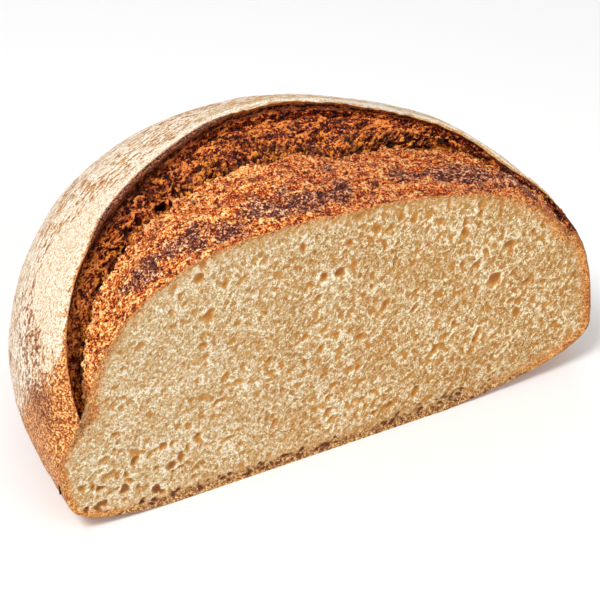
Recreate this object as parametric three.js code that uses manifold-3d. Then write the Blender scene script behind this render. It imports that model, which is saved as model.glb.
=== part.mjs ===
// Half of a large round sourdough loaf, sliced straight across and resting on its baked base.
// Millimetres, +Z up. The cut face looks along -Y, the floured back of the loaf is towards +Y
// and X runs along the cut. The loaf is one baked piece, so it is one solid.
import * as THREE from 'three';
import { mergeVertices } from 'three/addons/utils/BufferGeometryUtils.js';
import Module from 'manifold-3d';

// The floured outer skin: an oval dome whose widest level lies a little above the base.
// The knife passed in front of the middle, so the dome's centre is behind the cut.
const HALF_WIDTH = 123.5;
const HALF_DEPTH = 137;
const CENTRE_Y = 26;
const BELT_HEIGHT = 24;
const DOME_RISE = { right: 94.5, back: 96.9 };
const DOME_POWER = 2.44;
const UNDERSIDE_DEPTH = 25.6;
const UNDERSIDE_POWER = { left: 3.6, right: 2.3 };
const SMALLEST_SPREAD = 0.3;

// The bare crown in front of the score, rising to the edge of the cut face.
const CROWN_HALF_WIDTH = { left: 110.5, right: 116.5 };
const CROWN_HALF_DEPTH = 98;
const CROWN_RISE = 91.5;
const CROWN_TILT = 0.055;
const CROWN_POWER = 2.7;
const CROWN_LIP_RISE = 3;
const CROWN_LIP_WIDTH = 4;
const CROWN_MELT = 26;
const CROWN_SWELL = { height: 4, from: 50, to: 90, behind: 20 };
const CROWN_DENT = { depth: 7, angle: 1.05, spread: 0.3, flattening: 0.6 };

// The score opened into a horseshoe: a torn wall between a valley line and the ear.
const VALLEY_HALF_WIDTH = { left: 107, right: 108 };
const VALLEY_POWER = { left: 2, right: 2.6 };
const VALLEY_REACH = 51;
const VALLEY_DEPTH = { left: 12, back: 8, right: 0.5 };
const NARROWEST_WALL = 3;
const EAR_HEIGHT = { left: 67, back: 115.3, right: 90.6 };
const EAR_FALL = { left: 1.8, right: 1.5 };
const EAR_END_DROP = { left: 12, right: 16 };
const EAR_END_LENGTH = { left: 7, right: 24 };
const EAR_DROP = { left: 6, back: 6.5, right: 1 };
const EAR_OVERHANG = 1.6;
const EAR_LIFT = 1.8;
const EAR_LIFT_WIDTH = 10;
const END_PINCH = 8;
const END_PINCH_LENGTH = 7;

// Relief of the torn crumb: crags, and pockets where the dough pulled apart.
const CRAG_HEIGHT = 1.9;
const SKIN_UNEVENNESS = 1.1;
const TUCK = { depth: 5.5, angle: 2.84, spread: 0.36, height: 6, rise: 17 };
const SKIN_LEAN = { left: 0.6, right: 1.8 };
const POCKETS = 13;
const POCKET_SIZE = { length: 6.5, width: 3.6, depth: 4.2 };

// The largest pores that the slice opened: place along X and up Z, half length, half width and
// lean from level in degrees.
const LARGE_PORES = [
  [76, 77, 3.2, 2.7, 30],
  [69.5, 62, 4.4, 3, 60],
  [87, 55.5, 4.4, 2.1, 35],
  [17, 95.5, 2.8, 1.9, 110],
  [-1.5, 88, 2.7, 2.2, 70],
  [18, 65, 5.4, 2.2, 55],
  [21.5, 12.5, 3.4, 2.3, 10],
  [40.5, 9.5, 2.6, 1.7, 20],
  [55, 8.5, 2.8, 1.6, 15],
  [-82.5, 10, 2.7, 2.1, 75],
  [-95.5, 14.5, 3.2, 1.9, 80],
  [-57, 86, 3.4, 2.2, 60],
];

// Smaller pores between them.
const PORES = 32;
const PORE_LENGTH = { least: 1.9, most: 3.6 };
const PORE_SLIMNESS = 0.55;
const PORE_DEPTH = 0.8;
const PORE_MARGIN = 9;

// Fineness of the faceted skin.
const STATIONS = 152;
const ROWS = { crown: 7, lip: 3, wall: 9, drop: 2, skin: 11, underside: 6 };
const FAR = 400;

const clamp = (value, low, high) => Math.min(Math.max(value, low), high);
const mix = (a, b, t) => a + (b - a) * t;
const ease = (low, high, value) => {
  const t = clamp((value - low) / (high - low), 0, 1);
  return t * t * (3 - 2 * t);
};
const hump = (value, width) => Math.exp(-((value / width) ** 2));

// A figure given at the left end, the back and the right end of the horseshoe, in between.
function around(figure, angle) {
  const side = Math.cos(angle);
  const far = side < 0 ? figure.left : figure.right;
  return mix(figure.back, far, ease(0.15, 1, Math.abs(side)));
}

// Distance from the upright axis to an oval of half sizes a and b centred CENTRE_Y behind it.
function ovalReach(angle, a, b) {
  const c = Math.cos(angle);
  const s = Math.sin(angle);
  const quad = (c / a) ** 2 + (s / b) ** 2;
  const half = (s * CENTRE_Y) / b ** 2;
  const rest = (CENTRE_Y / b) ** 2 - 1;
  return (half + Math.sqrt(Math.max(half * half - quad * rest, 0))) / quad;
}

function domeRise(angle) {
  return mix(DOME_RISE.right, DOME_RISE.back, ease(0, 1.3, angle));
}

function undersidePower(angle) {
  return mix(UNDERSIDE_POWER.right, UNDERSIDE_POWER.left, ease(2.6, Math.PI, angle));
}

// Reach of the floured skin at one angle and height.
function skinReach(angle, z) {
  const above = clamp((z - BELT_HEIGHT) / domeRise(angle), 0, 1);
  const below = clamp((BELT_HEIGHT - z) / UNDERSIDE_DEPTH, 0, 1);
  const power = z < BELT_HEIGHT ? undersidePower(angle) : DOME_POWER;
  const spread = Math.max((1 - (above + below) ** power) ** (1 / power), SMALLEST_SPREAD);
  const reach = ovalReach(angle, HALF_WIDTH * spread, HALF_DEPTH * spread);
  const y = reach * Math.sin(angle);
  const atLeftEnd = angle > Math.PI / 2 ? hump(y, END_PINCH_LENGTH) : 0;
  const pinch = END_PINCH * atLeftEnd * ease(34, 56, z);
  const uneven = Math.sin(3.1 * angle + 0.6) * Math.sin(z / 19 + 2 * angle)
    + 0.6 * Math.sin(7.3 * angle + z / 11);
  const tuck = TUCK.depth * hump(angle - TUCK.angle, TUCK.spread) * hump(z - TUCK.height, TUCK.rise);
  const lean = SKIN_LEAN[angle > Math.PI / 2 ? 'left' : 'right'] * Math.sin(2 * angle)
    * ease(20, 60, z);
  return reach - pinch - tuck + lean + SKIN_UNEVENNESS * uneven * ease(0, 26, z);
}

function earHeight(angle) {
  const s = Math.sin(angle);
  const side = angle > Math.PI / 2 ? 'left' : 'right';
  const fall = (1 - s) ** EAR_FALL[side];
  const y = 110 * s;
  const length = EAR_END_LENGTH[side];
  const end = side === 'left' ? hump(y, length) : ease(length, length / 2, y);
  return mix(EAR_HEIGHT.back, EAR_HEIGHT[side], fall) - EAR_END_DROP[side] * end;
}

// The curl of the ear's edge, which lies down flat towards the right end.
function curl(angle) {
  return angle > Math.PI / 2 ? 1 : ease(0, 0.25, Math.sin(angle));
}

function crownHeight(x, y) {
  const halfWidth = x < 0 ? CROWN_HALF_WIDTH.left : CROWN_HALF_WIDTH.right;
  const outness = ((x / halfWidth) ** 2 + (y / CROWN_HALF_DEPTH) ** 2) ** (CROWN_POWER / 2);
  const share = clamp(1 - outness, 0, 1) ** (1 / CROWN_POWER);
  const blister = 0.5 * Math.sin(x / 6.1 + 1.3) * Math.sin(y / 5.3)
    + 0.4 * Math.sin(x / 11 - y / 9 + 2);
  const swell = CROWN_SWELL.height * ease(CROWN_SWELL.from, CROWN_SWELL.to, x)
    * ease(0, CROWN_SWELL.behind, y);
  const rise = (CROWN_RISE - CROWN_TILT * x) * share;
  return BELT_HEIGHT + rise + swell + blister * ease(0, 12, y);
}

function crownLipRise(angle) {
  const flattened = CROWN_DENT.flattening * hump(angle - CROWN_DENT.angle, CROWN_DENT.spread);
  return CROWN_LIP_RISE * ease(0.05, 0.5, Math.sin(angle)) * (1 - flattened);
}

function valleyReach(angle) {
  const side = angle > Math.PI / 2 ? 'left' : 'right';
  const power = VALLEY_POWER[side];
  const c = Math.abs(Math.cos(angle)) / VALLEY_HALF_WIDTH[side];
  const oval = (c ** power + (Math.sin(angle) / VALLEY_REACH) ** power) ** (-1 / power);
  const dent = CROWN_DENT.depth * hump(angle - CROWN_DENT.angle, CROWN_DENT.spread);
  return Math.min(oval - dent, skinReach(angle, earHeight(angle)) - NARROWEST_WALL);
}

// Crags of the torn wall, fading out at the valley and under the ear.
function crag(along, across) {
  const ridges = Math.sin(along / 4.3 + 5 * across)
    + 0.8 * Math.sin(along / 2.9 - 9 * across + 1.7)
    + 0.7 * Math.sin(along / 8.1 + 14 * across);
  return CRAG_HEIGHT * 0.5 * ridges * Math.sin(Math.PI * across);
}

// The section of the loaf at one angle: [reach, height] pairs from the top of the axis to the
// foot of the axis, the same number of points at every angle.
function section(angle) {
  const c = Math.cos(angle);
  const s = Math.sin(angle);
  const points = [];
  const valley = valleyReach(angle);
  const valleyFloor = crownHeight(valley * c, valley * s) - around(VALLEY_DEPTH, angle);
  const crownEdge = valley - CROWN_LIP_WIDTH;
  const lipRise = crownLipRise(angle);

  for (let i = 0; i < ROWS.crown; i += 1) {
    const reach = crownEdge * (i / ROWS.crown) ** 0.8;
    const rise = lipRise * hump(reach - crownEdge, CROWN_MELT);
    points.push([reach, crownHeight(reach * c, reach * s) + rise]);
  }
  for (let i = 0; i < ROWS.lip; i += 1) {
    const t = i / ROWS.lip;
    const reach = mix(crownEdge, valley, t);
    const top = crownHeight(reach * c, reach * s) + lipRise;
    points.push([reach, mix(top, valleyFloor, 1 - Math.sqrt(1 - t * t))]);
  }

  const ear = earHeight(angle);
  const earReach = skinReach(angle, ear);
  const drop = around(EAR_DROP, angle);
  for (let i = 0; i < ROWS.wall; i += 1) {
    const t = i / ROWS.wall;
    const reach = mix(valley, earReach, t);
    const height = mix(valleyFloor, ear - drop, ease(-0.25, 1.15, t));
    points.push([reach, height + crag(reach * angle, t)]);
  }
  for (let i = 0; i <= ROWS.drop; i += 1) {
    const t = i / ROWS.drop;
    const overhang = EAR_OVERHANG * curl(angle) * t;
    points.push([earReach - overhang, ear - drop * (1 - t) + EAR_LIFT * curl(angle) * t]);
  }

  const steepness = ((ear - BELT_HEIGHT) / domeRise(angle)) ** (DOME_POWER / 2);
  const start = Math.asin(clamp(steepness, 0, 0.999));
  for (let i = 1; i <= ROWS.skin; i += 1) {
    const turn = start * (1 - i / ROWS.skin);
    const z = BELT_HEIGHT + domeRise(angle) * Math.sin(turn) ** (2 / DOME_POWER);
    const reach = skinReach(angle, z);
    points.push([reach, z + EAR_LIFT * curl(angle) * hump(reach - earReach, EAR_LIFT_WIDTH)]);
  }
  const power = undersidePower(angle);
  const end = Math.asin((BELT_HEIGHT / UNDERSIDE_DEPTH) ** (power / 2));
  for (let i = 1; i <= ROWS.underside; i += 1) {
    const below = UNDERSIDE_DEPTH * Math.sin(end * (i / ROWS.underside)) ** (2 / power);
    const z = i === ROWS.underside ? 0 : BELT_HEIGHT - below;
    points.push([skinReach(angle, z), z]);
  }
  points.push([0, 0]);
  return points;
}

// The whole boule as a lathed skin whose every station takes the section of its own angle. The
// half in front of the cut mirrors the half behind it, so both share the outline of the slice.
function bouleGeometry() {
  const count = section(0).length;
  const profile = [];
  for (let i = 0; i < count; i += 1) {
    const radius = i === 0 || i === count - 1 ? 0 : 1;
    profile.push(new THREE.Vector2(radius, -i));
  }
  const geometry = new THREE.LatheGeometry(profile, STATIONS);
  const position = geometry.attributes.position;
  for (let station = 0; station <= STATIONS; station += 1) {
    const turn = (station % STATIONS) / STATIONS;
    const mirrored = turn > 0.5;
    const angle = 2 * Math.PI * (mirrored ? 1 - turn : turn);
    const onCut = turn === 0 || turn === 0.5;
    const side = mirrored ? 1 : -1;
    section(angle).forEach(([reach, height], row) => {
      const y = onCut ? 0 : side * reach * Math.sin(angle);
      position.setXYZ(station * count + row, reach * Math.cos(angle), y, height);
    });
  }
  return geometry;
}

const wasm = await Module();
wasm.setup();

function toManifold(geometry) {
  const bare = geometry.clone();
  bare.deleteAttribute('normal');
  bare.deleteAttribute('uv');
  const merged = mergeVertices(bare, 1e-4);
  return new wasm.Manifold(new wasm.Mesh({
    numProp: 3,
    vertProperties: new Float32Array(merged.attributes.position.array),
    triVerts: new Uint32Array(merged.index.array),
  }));
}

function fromManifold(solid) {
  const mesh = solid.getMesh();
  const geometry = new THREE.BufferGeometry();
  geometry.setAttribute('position', new THREE.BufferAttribute(mesh.vertProperties, 3));
  geometry.setIndex(new THREE.BufferAttribute(mesh.triVerts, 1));
  geometry.computeVertexNormals();
  return geometry;
}

// An egg-shaped hollow with half sizes a, b and c, turned about Y (in the cut face) or Z.
function hollow(a, b, c, centre, turnY, turnZ) {
  const geometry = new THREE.SphereGeometry(1, 9, 6);
  geometry.scale(a, b, c);
  geometry.rotateY(turnY);
  geometry.rotateZ(turnZ);
  geometry.translate(centre.x, centre.y, centre.z);
  return toManifold(geometry);
}

// Pores spread evenly over the slice by the golden ratio of two dimensions, stretched upwards
// to the right as the dough rose, each a hollow opened by the cut.
function* pores() {
  let made = 0;
  for (let i = 1; made < PORES; i += 1) {
    const x = mix(-HALF_WIDTH, HALF_WIDTH, (i * 0.7548777) % 1);
    const z = mix(0, DOME_RISE.back + BELT_HEIGHT, (i * 0.5698403) % 1);
    const sideRoom = skinReach(x < 0 ? Math.PI : 0, Math.min(z, 80)) - Math.abs(x);
    if (z > PORE_MARGIN && z < crownHeight(x, 0) - PORE_MARGIN && sideRoom > PORE_MARGIN) {
      const length = mix(PORE_LENGTH.least, PORE_LENGTH.most, ((i * 0.3819) % 1) ** 2);
      const lean = -0.9 + 0.8 * Math.sin(i * 2.4) - x / 250;
      const width = length * PORE_SLIMNESS;
      yield hollow(length, width * PORE_DEPTH, width, new THREE.Vector3(x, 0, z), lean, 0);
      made += 1;
    }
  }
}

function* largePores() {
  for (const [x, z, length, width, lean] of LARGE_PORES) {
    const centre = new THREE.Vector3(x, 0, z);
    yield hollow(length, width * PORE_DEPTH, width, centre, THREE.MathUtils.degToRad(-lean), 0);
  }
}

// Pockets torn open along the wall between the valley and the ear.
function* pockets() {
  for (let i = 0; i < POCKETS; i += 1) {
    const angle = mix(0.75, 2.75, (i + 0.5) / POCKETS);
    const t = 0.34 + 0.16 * Math.sin(i * 2.4);
    const reach = mix(valleyReach(angle), skinReach(angle, earHeight(angle)), t);
    const c = Math.cos(angle);
    const s = Math.sin(angle);
    const floor = crownHeight(valleyReach(angle) * c, valleyReach(angle) * s)
      - around(VALLEY_DEPTH, angle);
    const roof = earHeight(angle) - around(EAR_DROP, angle);
    const size = 0.75 + 0.25 * Math.sin(i * 1.9);
    const centre = new THREE.Vector3(reach * c, reach * s, mix(floor, roof, ease(-0.25, 1.15, t)));
    yield hollow(POCKET_SIZE.width * size, POCKET_SIZE.length * size, POCKET_SIZE.depth * size,
      centre, 0, angle);
  }
}

const frontHalf = new THREE.BoxGeometry(FAR, FAR, FAR);
frontHalf.translate(0, -FAR / 2, FAR / 4);

let loaf = toManifold(bouleGeometry()).subtract(toManifold(frontHalf));
for (const opened of [...largePores(), ...pores(), ...pockets()]) {
  loaf = loaf.subtract(opened);
}

const geometry = fromManifold(loaf);
geometry.computeBoundingBox();
const middle = geometry.boundingBox.getCenter(new THREE.Vector3());
geometry.translate(-middle.x, -middle.y, 0);

const bakedDough = new THREE.MeshStandardMaterial({ color: 0xc89a5e, roughness: 0.85, metalness: 0 });
const sourdoughLoaf = new THREE.Mesh(geometry, bakedDough);
sourdoughLoaf.name = 'sourdough_loaf';

const object = new THREE.Group();
object.add(sourdoughLoaf);

export default object;
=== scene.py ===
import math

import bmesh
import bpy
import numpy as np
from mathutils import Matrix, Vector, kdtree


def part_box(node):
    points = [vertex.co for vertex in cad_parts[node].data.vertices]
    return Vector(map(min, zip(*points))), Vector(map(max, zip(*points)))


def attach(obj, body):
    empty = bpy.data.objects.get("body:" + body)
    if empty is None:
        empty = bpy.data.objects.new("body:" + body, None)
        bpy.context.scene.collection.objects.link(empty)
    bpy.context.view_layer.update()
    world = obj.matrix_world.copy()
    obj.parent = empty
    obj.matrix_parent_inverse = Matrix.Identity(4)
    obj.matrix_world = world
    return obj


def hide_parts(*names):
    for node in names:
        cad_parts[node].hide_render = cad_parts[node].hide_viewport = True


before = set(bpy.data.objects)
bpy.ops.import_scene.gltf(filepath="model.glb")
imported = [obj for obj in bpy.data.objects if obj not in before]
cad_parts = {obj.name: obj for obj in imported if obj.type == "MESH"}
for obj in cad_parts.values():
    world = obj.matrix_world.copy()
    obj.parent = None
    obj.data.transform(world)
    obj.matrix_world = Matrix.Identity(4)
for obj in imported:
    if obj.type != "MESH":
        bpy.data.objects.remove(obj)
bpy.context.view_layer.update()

loaf_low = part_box("sourdough_loaf")[0]


# Floured crust
# The outside of the boule: a tight skin of dough, dusted with flour in its basket and baked hard.
# Flour sits thick beside the ear, breaks into dashes where the skin stretched, and is rubbed off
# low on the left. Sizes are in millimetres from the cut: X along it, Y behind it, Z up.
MM = 0.001
HALF_WIDTH = 123.5
HALF_DEPTH = 137.0
CENTRE_BEHIND_CUT = 26.0
BELT_HEIGHT = 24.0
DOME_RISE_RIGHT = 94.5
DOME_RISE_BACK = 96.9
DOME_POWER = 2.44
UNDERSIDE_DEPTH = 25.6
UNDERSIDE_POWER_LEFT = 3.6
UNDERSIDE_POWER_RIGHT = 2.3
PINCH_AT_CUT = 8.0
TUCK_LOW_LEFT = 5.5
LEAN_LEFT = 0.6
LEAN_RIGHT = 1.8
UNEVENNESS = 1.1
EAR_RADIUS = 110.0
EAR_HEIGHT_BACK = 115.3
EAR_HEIGHT_LEFT = 67.0
EAR_HEIGHT_RIGHT = 90.6
EAR_DIP_LEFT = 12.0
EAR_DIP_RIGHT = 16.0
EAR_LIFT = 1.8
EAR_LIFT_WIDTH = 10.0
EAR_OVERHANG = 1.6
EAR_ROUNDING = 2.5
EAR_DROP = (6.0, 6.5, 1.0)  # at the left end, the back and the right end
CORE = (0.0, 40.0, 30.0)
SKIN_COLUMNS = 521
SKIN_ROWS = 181
UNDERSIDE_SHARE = 0.2
RIM_TUCK = 4.0
RIM_TUCK_AT_CUT = 0.4
BELOW_VALLEY = 20.0
WELD = 0.02 * MM
FINE_GRAIN = 0.75 * MM
LOAF_SEED = 7


def ease(low, high, value):
    t = np.clip((value - low) / (high - low), 0, 1)
    return t * t * (3 - 2 * t)


def mix(a, b, t):
    return a + (b - a) * t


def hump(value, width):
    return np.exp(-(value / width) ** 2)


def around(left, back, right, angle):
    """A figure of the left end, the back and the right end of the horseshoe, in between."""
    side = np.cos(angle)
    return mix(back, np.where(side < 0, left, right), ease(0.15, 1, np.abs(side)))


def oval_reach(angle, a, b):
    """Distance from the upright axis in the cut to an oval centred behind the cut."""
    c, s = np.cos(angle), np.sin(angle)
    quad = (c / a) ** 2 + (s / b) ** 2
    half = s * CENTRE_BEHIND_CUT / b**2
    rest = (CENTRE_BEHIND_CUT / b) ** 2 - 1
    return (half + np.sqrt(np.maximum(half * half - quad * rest, 0))) / quad


def dome_rise(angle):
    return mix(DOME_RISE_RIGHT, DOME_RISE_BACK, ease(0, 1.3, angle))


def underside_power(angle):
    return mix(UNDERSIDE_POWER_RIGHT, UNDERSIDE_POWER_LEFT, ease(2.6, math.pi, angle))


def skin_reach(angle, z):
    """Distance of the crust from the upright axis in the cut."""
    above = np.clip((z - BELT_HEIGHT) / dome_rise(angle), 0, 1)
    below = np.clip((BELT_HEIGHT - z) / UNDERSIDE_DEPTH, 0, 1)
    power = np.where(z < BELT_HEIGHT, underside_power(angle), DOME_POWER)
    spread = np.maximum((1 - (above + below) ** power) ** (1 / power), 0.3)
    reach = oval_reach(angle, HALF_WIDTH * spread, HALF_DEPTH * spread)
    pinch = PINCH_AT_CUT * hump(reach * np.sin(angle), 7) * (angle > math.pi / 2) * ease(34, 56, z)
    tuck = TUCK_LOW_LEFT * hump(angle - 2.84, 0.36) * hump(z - 6, 17)
    lean = np.where(angle > math.pi / 2, LEAN_LEFT, LEAN_RIGHT)
    lean = lean * np.sin(2 * angle) * ease(20, 60, z)
    uneven = np.sin(3.1 * angle + 0.6) * np.sin(z / 19 + 2 * angle)
    uneven = uneven + 0.6 * np.sin(7.3 * angle + z / 11)
    return reach - pinch - tuck + lean + UNEVENNESS * uneven * ease(0, 26, z)


def ear_height(angle):
    """Height of the ear's edge, which falls from the back to both ends."""
    s = np.sin(angle)
    left = angle > math.pi / 2
    fall = np.where(left, (1 - s) ** 1.8, (1 - s) ** 1.5)
    run = EAR_RADIUS * s
    dip = np.where(left, EAR_DIP_LEFT * hump(run, 7), EAR_DIP_RIGHT * ease(24, 12, run))
    return mix(EAR_HEIGHT_BACK, np.where(left, EAR_HEIGHT_LEFT, EAR_HEIGHT_RIGHT), fall) - dip


def curl(angle):
    """The curl of the ear's edge, which lies down flat towards the right end."""
    s = np.sin(angle)
    return np.where(angle > math.pi / 2, ease(0, 0.08, s), ease(0, 0.25, s))


def on_loaf(angle, reach, z):
    return np.stack([reach * np.cos(angle), reach * np.sin(angle), z + 0 * reach], -1)


def outward(points):
    """Unit normals of a sheet of points, pointing away from the core of the loaf."""
    across = np.gradient(points, axis=1)
    down = np.gradient(points, axis=0)
    normal = np.cross(across, down)
    normal /= np.maximum(np.linalg.norm(normal, axis=-1, keepdims=True), 1e-9)
    away = np.sum(normal * (points - np.array(CORE)), -1, keepdims=True)
    return normal * np.where(away < 0, -1, 1)


def swelling(points, size, seed):
    """Smooth random relief from -1 to 1: a scrambled number at each corner of a grid of cells."""
    cell = points / size
    low = np.floor(cell).astype(np.int64)
    t = cell - low
    t = t * t * (3 - 2 * t)
    total = 0
    for corner in range(8):
        step = np.array([corner & 1, corner >> 1 & 1, corner >> 2])
        x, y, z = np.moveaxis(low + step, -1, 0)
        mark = (x * 73856093 ^ y * 19349663 ^ z * 83492791 ^ seed * 40503) & 0xFFFFFFFF
        mark = (mark ^ mark >> 15) * 2246822519 & 0xFFFFFFFF
        mark = (mark ^ mark >> 13) * 3266489917 & 0xFFFFFFFF
        value = ((mark ^ mark >> 16) & 0xFFFF) / 32767.5 - 1
        total = total + value * np.prod(np.where(step, t, 1 - t), axis=-1)
    return total


def walked(points, axis):
    """Distance over a sheet from its first row or column."""
    start = np.take(points, [0], axis)
    steps = np.linalg.norm(np.diff(points, axis=axis, prepend=start), axis=-1)
    return np.cumsum(steps, axis=axis)


def drawn_in(points):
    """Points under a sheet, clear of the cut, that its rim can be tucked down to."""
    depth = mix(RIM_TUCK_AT_CUT, RIM_TUCK, ease(0, RIM_TUCK, points[..., 1]))
    inner = points - outward(points) * depth[..., None]
    inner[..., 1] = np.maximum(inner[..., 1], RIM_TUCK)
    inner[..., 2] = np.maximum(inner[..., 2], 1)
    return inner


def sunk(inner):
    """The same points straight below, low enough in the loaf to pass under the valley."""
    level = np.minimum(inner[..., 2], BELOW_VALLEY)
    return np.stack([inner[..., 0], inner[..., 1], level], -1)


def ear_flesh(angle):
    """Points inside the ear, below its edge."""
    ear = ear_height(angle)
    level = ear - around(*EAR_DROP, angle) - 1
    reach = (skin_reach(angle, ear) + skin_reach(angle, level)) / 2
    inner = on_loaf(angle, reach, level)
    inner[..., 1] = np.maximum(inner[..., 1], RIM_TUCK)
    return inner


def finished_sheet(name, points, inner, **marks):
    """A closed piece: a fine grid laid over the points, tucked in behind to the loaf's core."""
    rows, columns = points.shape[:2]
    shape = bmesh.new()
    shape.loops.layers.uv.new("OFBake")
    bmesh.ops.create_grid(
        shape, x_segments=columns - 1, y_segments=rows - 1, size=0.5, calc_uvs=True
    )
    shift = np.array([-loaf_middle_x, loaf_low.y / MM, 0])
    placed = (points + shift) * MM
    spot = shape.verts.layers.int.new("spot")
    layers = [(shape.verts.layers.float.new(mark), marks[mark]) for mark in marks]
    for vertex in shape.verts:
        column = round((vertex.co.x + 0.5) * (columns - 1))
        row = round((vertex.co.y + 0.5) * (rows - 1))
        vertex[spot] = row * columns + column
        for layer, values in layers:
            vertex[layer] = values[row, column]
        vertex.co = placed[row, column]
    for face in shape.faces:
        face.smooth = True
    bmesh.ops.remove_doubles(shape, verts=shape.verts, dist=WELD)
    rim = [edge for edge in shape.edges if edge.is_boundary]
    for edge in rim:
        edge.smooth = False
    for ring in ((inner + shift) * MM, (sunk(inner) + shift) * MM, None):
        drawn = bmesh.ops.extrude_edge_only(shape, edges=rim)["geom"]
        rim = [item for item in drawn if isinstance(item, bmesh.types.BMEdge)]
        ends = [item for item in drawn if isinstance(item, bmesh.types.BMVert)]
        if ring is not None:
            for end in ends:
                end.co = ring[end[spot] // columns, end[spot] % columns]
    core = Vector((np.array(CORE) + shift) * MM)
    bmesh.ops.pointmerge(shape, verts=ends, merge_co=core)
    bmesh.ops.recalc_face_normals(shape, faces=shape.faces)
    shape.verts.layers.int.remove(spot)
    mesh = bpy.data.meshes.new(name)
    shape.to_mesh(mesh)
    shape.free()
    piece = bpy.data.objects.new(name, mesh)
    bpy.context.collection.objects.link(piece)
    return piece


def frayed_edge(angle):
    """Small ups and downs of the torn edge of the ear."""
    spots = np.stack([EAR_RADIUS * angle, 0 * angle, 0 * angle], -1)
    return (0.35 * swelling(spots, 3.4, 5) + 0.3 * swelling(spots, 9.0, 6)) * curl(angle)


def skin_sheet():
    """Rows from the ear down to the sole, columns from the left end round to the right."""
    angle, share = np.meshgrid(
        np.linspace(math.pi, 0, SKIN_COLUMNS), np.linspace(0, 1, SKIN_ROWS)
    )
    ear = ear_height(angle)
    start = np.arcsin(((ear - BELT_HEIGHT) / dome_rise(angle)) ** (DOME_POWER / 2))
    down = np.clip(share / (1 - UNDERSIDE_SHARE), 0, 1)
    dome_z = BELT_HEIGHT + dome_rise(angle) * np.sin(start * (1 - down)) ** (2 / DOME_POWER)
    power = underside_power(angle)
    end = np.arcsin((BELT_HEIGHT / UNDERSIDE_DEPTH) ** (power / 2))
    under = np.clip(share / UNDERSIDE_SHARE - (1 / UNDERSIDE_SHARE - 1), 0, 1)
    under_z = BELT_HEIGHT - UNDERSIDE_DEPTH * np.sin(end * under) ** (2 / power)
    z = np.where(share < 1 - UNDERSIDE_SHARE, dome_z, under_z)
    z[-1] = 0
    reach = skin_reach(angle, z)
    ear_reach = skin_reach(angle, ear)
    lift = EAR_LIFT * curl(angle) * hump(reach - ear_reach, EAR_LIFT_WIDTH)
    z = z + lift * (share < 0.5)
    points = on_loaf(angle, reach, z)
    below = walked(points, 0)
    overhang = EAR_OVERHANG * curl(angle) * hump(below, EAR_ROUNDING)
    points = on_loaf(angle, reach - overhang, z + frayed_edge(angle) * hump(below, 2.0))
    return angle, points, walked(points[:1], 1) + 0 * angle, below


loaf_middle_x = 0.0
skin_angle, skin_points, skin_along, skin_below = skin_sheet()
loaf_middle_x = (skin_points[..., 0].min() + skin_points[..., 0].max()) / 2

fine = swelling(skin_points, 2.4, 1) * 0.10 + swelling(skin_points, 0.95, 2) * 0.06
broad = swelling(skin_points, 13.0, 3) * 0.35 + swelling(skin_points, 5.5, 4) * 0.16
calm = ease(0, 3, skin_below) * ease(0, 2, skin_points[..., 2])
skin_points = skin_points + outward(skin_points) * ((fine + broad) * calm)[..., None]
skin_points[:, [0, -1], 1] = 0
skin_inner = drawn_in(skin_points)
skin_inner[0] = ear_flesh(skin_angle[0])

floured_crust = finished_sheet(
    "floured_crust",
    skin_points,
    skin_inner,
    along=skin_along,
    below=skin_below,
    height=skin_points[..., 2],
    behind=skin_points[..., 1],
    turn=skin_angle,
)


def colour(red, green, blue):
    """A paint-chart colour from 0 to 255 as the shader's linear light."""
    parts = [value / 255 for value in (red, green, blue)]
    light = [v / 12.92 if v <= 0.04045 else ((v + 0.055) / 1.055) ** 2.4 for v in parts]
    return (*light, 1.0)


def new_finish(name):
    material = bpy.data.materials.new(name)
    material.use_nodes = True
    return material, material.node_tree, material.node_tree.nodes["Principled BSDF"]


class Figure:
    """What the shader works out at each spot: a colour, a place, or a number to reckon with."""

    def __init__(self, socket):
        self.socket = socket

    def node(self, kind):
        return self.socket.id_data.nodes.new(kind)

    def worked(self, operation, first, second=0.0):
        node = self.node("ShaderNodeMath")
        node.operation = operation
        put(node.inputs[0], first)
        put(node.inputs[1], second)
        return Figure(node.outputs[0])

    def __add__(self, other):
        return self.worked("ADD", self, other)

    __radd__ = __add__

    def __sub__(self, other):
        return self.worked("SUBTRACT", self, other)

    def __rsub__(self, other):
        return self.worked("SUBTRACT", other, self)

    def __mul__(self, other):
        return self.worked("MULTIPLY", self, other)

    def __truediv__(self, other):
        return self.worked("DIVIDE", self, other)

    def __abs__(self):
        return self.worked("ABSOLUTE", self)


def put(socket, value):
    """Lead a worked-out figure into the socket, or set it to one that is the same all over."""
    if isinstance(value, Figure):
        socket.id_data.links.new(value.socket, socket)
    else:
        socket.default_value = value


def fed(node, **values):
    """The node, with its sockets of these names led to or set."""
    for name, value in values.items():
        put(node.inputs[name], value)
    return node


def carried(tree, names):
    """Each spot's place, and the numbers that the sheet's points carry under these names."""
    figures = [Figure(tree.nodes.new("ShaderNodeTexCoord").outputs["Object"])]
    for name in names.split():
        node = tree.nodes.new("ShaderNodeAttribute")
        node.attribute_name = name
        figures.append(Figure(node.outputs["Fac"]))
    return figures


def larger(first, second):
    return first.worked("MAXIMUM", first, second)


def between(value, low, high, to_low=0.0, to_high=1.0):
    """The value's run from low to high, eased into another run and held at its ends."""
    node = value.node("ShaderNodeMapRange")
    node.interpolation_type = "SMOOTHSTEP"
    for socket, figure in zip(node.inputs[:5], (value, low, high, to_low, to_high)):
        put(socket, figure)
    return Figure(node.outputs[0])


def crossed(share, first, second):
    """A number that goes over from the first to the second."""
    node = share.node("ShaderNodeMix")
    for socket, figure in zip((node.inputs[0], *node.inputs[2:4]), (share, first, second)):
        put(socket, figure)
    return Figure(node.outputs[0])


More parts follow.
